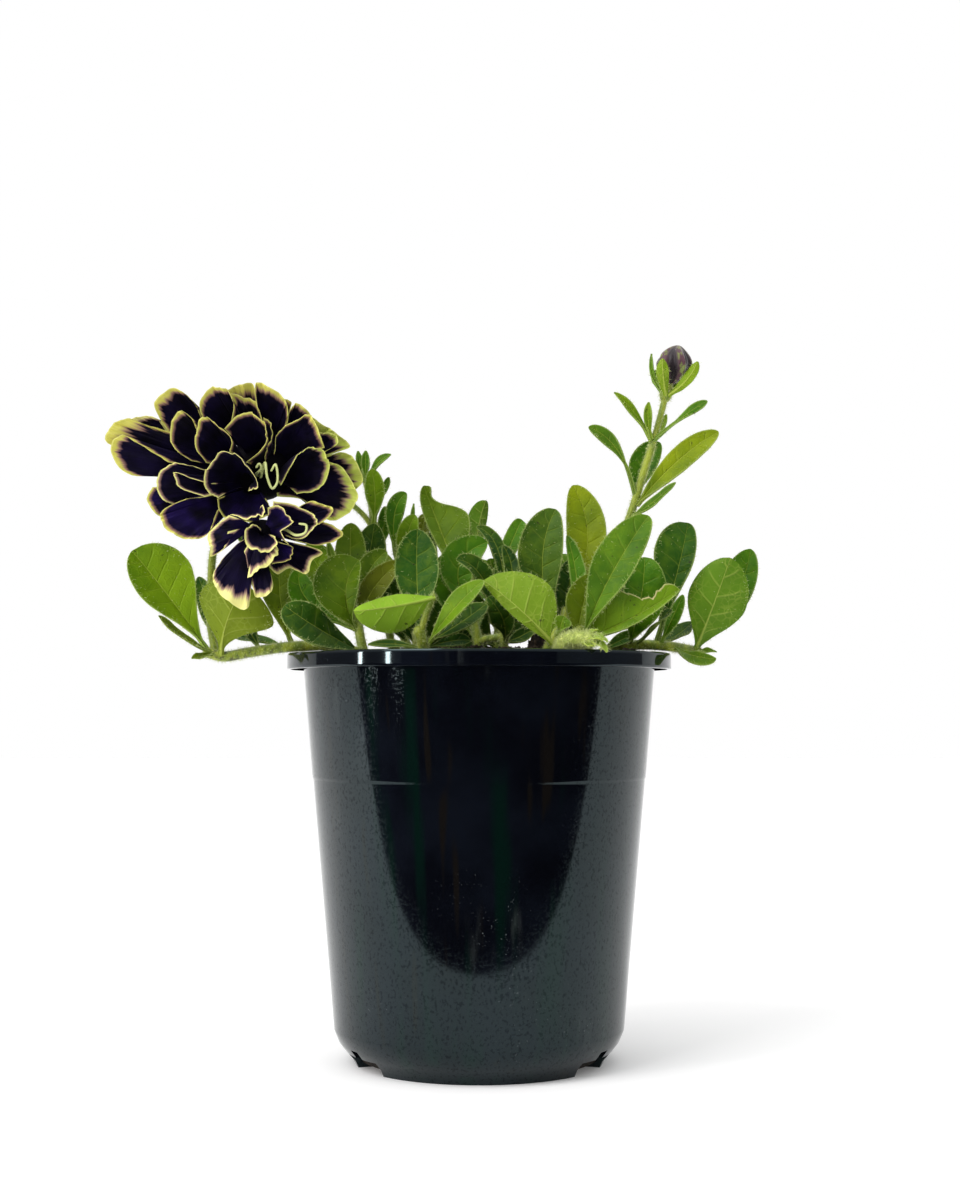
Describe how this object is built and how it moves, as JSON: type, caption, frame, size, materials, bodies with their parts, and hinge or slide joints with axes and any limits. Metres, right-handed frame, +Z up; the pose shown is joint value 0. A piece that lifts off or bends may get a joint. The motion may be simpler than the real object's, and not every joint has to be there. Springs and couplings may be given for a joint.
{
  "type": "potted petunia",
  "caption": "Flowering bedding plant in a round tapered nursery pot, with ruffled double blooms, a bud on a tall shoot and low leafy stems.",
  "frame": {"origin": "centre of the pot's underside, on the plane that the foot stands on", "axes": "+Z up along the pot's axis, -Y towards the side that the blooms face, +X towards the tall shoot with the bud"},
  "size_m": [0.2343, 0.14, 0.2593],
  "materials": {
    "pot": "black injection-moulded plastic, glossy, with fine moulding streaks",
    "soil": "moist black-brown potting compost of peat and bark fibre, matte and crumbly",
    "leaf": "green leaves and stems, finely hairy, with paler veins and margins",
    "stub": "pale yellow-green cut stem, hairy, torn at its end",
    "petal": "near-black violet velvet petals with cream to olive-yellow margins",
    "bud": "folded petals of the closed bud, purple-brown with green streaks"
  },
  "bodies": {
    "root": {"pot": "pot", "soil": "soil", "leafy_stem_left_trailing": "leaf", "leafy_stem_left": "leaf", "leafy_stem_front_centre": "leaf", "leafy_stem_front_right": "leaf", "leafy_stem_centre": "leaf", "leafy_stem_right_front": "leaf", "leafy_stem_right": "leaf", "leafy_stem_right_trailing": "leaf", "leafy_stem_back_left": "leaf", "leafy_stem_back_centre": "leaf", "flower_shoot": "leaf", "leafy_stem_rear_left": "leaf", "leafy_stem_rear_centre": "leaf", "leafy_stem_rear_right": "leaf", "cut_stem": "stub", "bloom_upper": "petal", "bloom_lower": "petal", "bud": "bud"}
  },
  "joints": []
}
